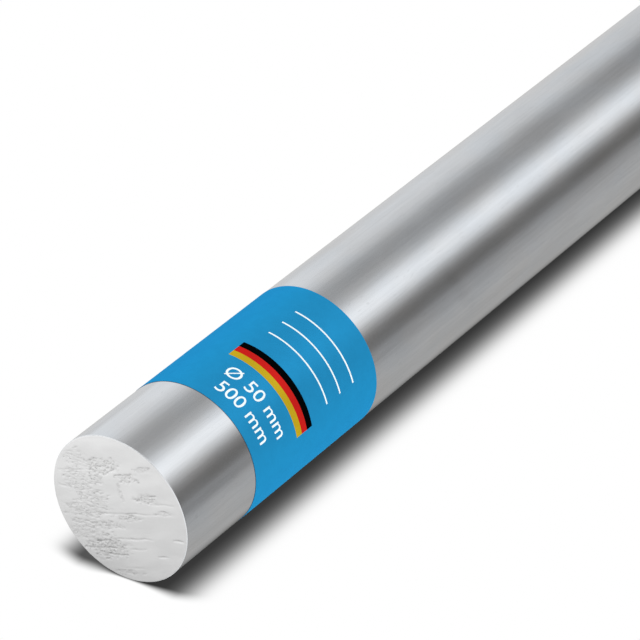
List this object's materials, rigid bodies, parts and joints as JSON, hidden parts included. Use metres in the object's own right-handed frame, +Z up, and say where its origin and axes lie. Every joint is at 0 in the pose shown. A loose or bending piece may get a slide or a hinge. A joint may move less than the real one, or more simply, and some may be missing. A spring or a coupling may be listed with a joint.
{
  "type": "round metal bar",
  "caption": "Round bright aluminium bar, sawn square at both ends, with a printed film label wrapped round it near one end.",
  "frame": {"origin": "on the floor the bar lies on, under the middle of its length", "axes": "+Z up, +Y along the bar from its labelled end to its plain end"},
  "size_m": [0.0502, 0.5, 0.0502],
  "materials": {
    "aluminium": "drawn, bright",
    "label_film": "printed, satin"
  },
  "bodies": {
    "root": {"round_bar": "aluminium", "label_wrap": "label_film"}
  },
  "joints": []
}
